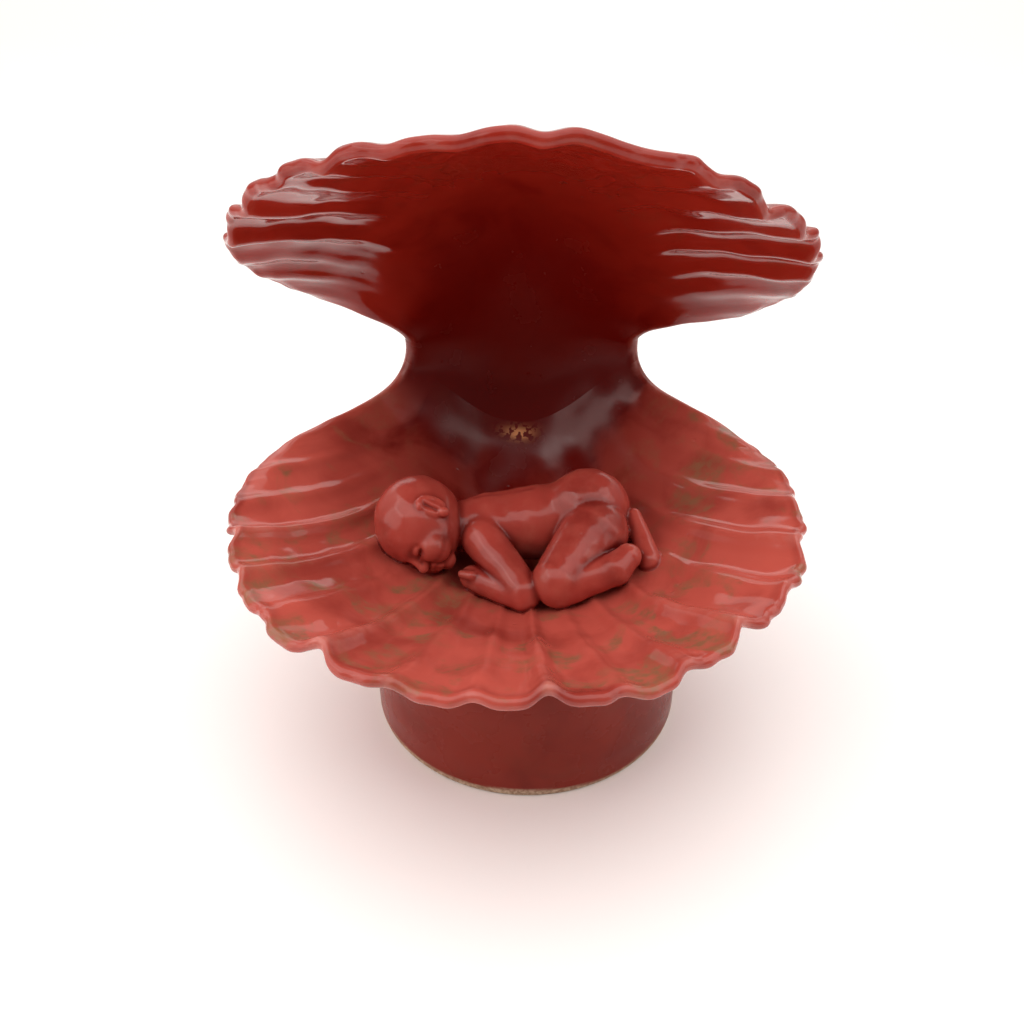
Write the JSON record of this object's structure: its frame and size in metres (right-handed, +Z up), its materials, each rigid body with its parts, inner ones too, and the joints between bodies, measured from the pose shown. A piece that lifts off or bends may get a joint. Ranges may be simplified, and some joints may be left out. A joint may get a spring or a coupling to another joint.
{
  "type": "glazed ceramic clamshell figurine",
  "caption": "Open fluted clamshell in glossy red-brown glaze on a round foot, with a small sleeping baby lying on the floor of its lower valve.",
  "frame": {"origin": "middle of the bounding box, on the surface that the foot stands on", "axes": "+Z up, the shell opens towards -Y, +X to the viewer's right"},
  "size_m": [0.1698, 0.1578, 0.1855],
  "materials": {
    "foot_glaze": "glossy iron-red glaze, wiped off in a thin bare line round the base",
    "lower_glaze": "glossy coral to brick glaze, paler on lip and ridges, with olive patches",
    "upper_glaze": "glossy oxblood to brick glaze, paler on the lip",
    "baby_glaze": "glossy brick glaze that pools darker in the creases"
  },
  "bodies": {
    "root": {"foot": "foot_glaze", "lower_valve": "lower_glaze", "upper_valve": "upper_glaze", "sleeping_baby": "baby_glaze"}
  },
  "joints": []
}
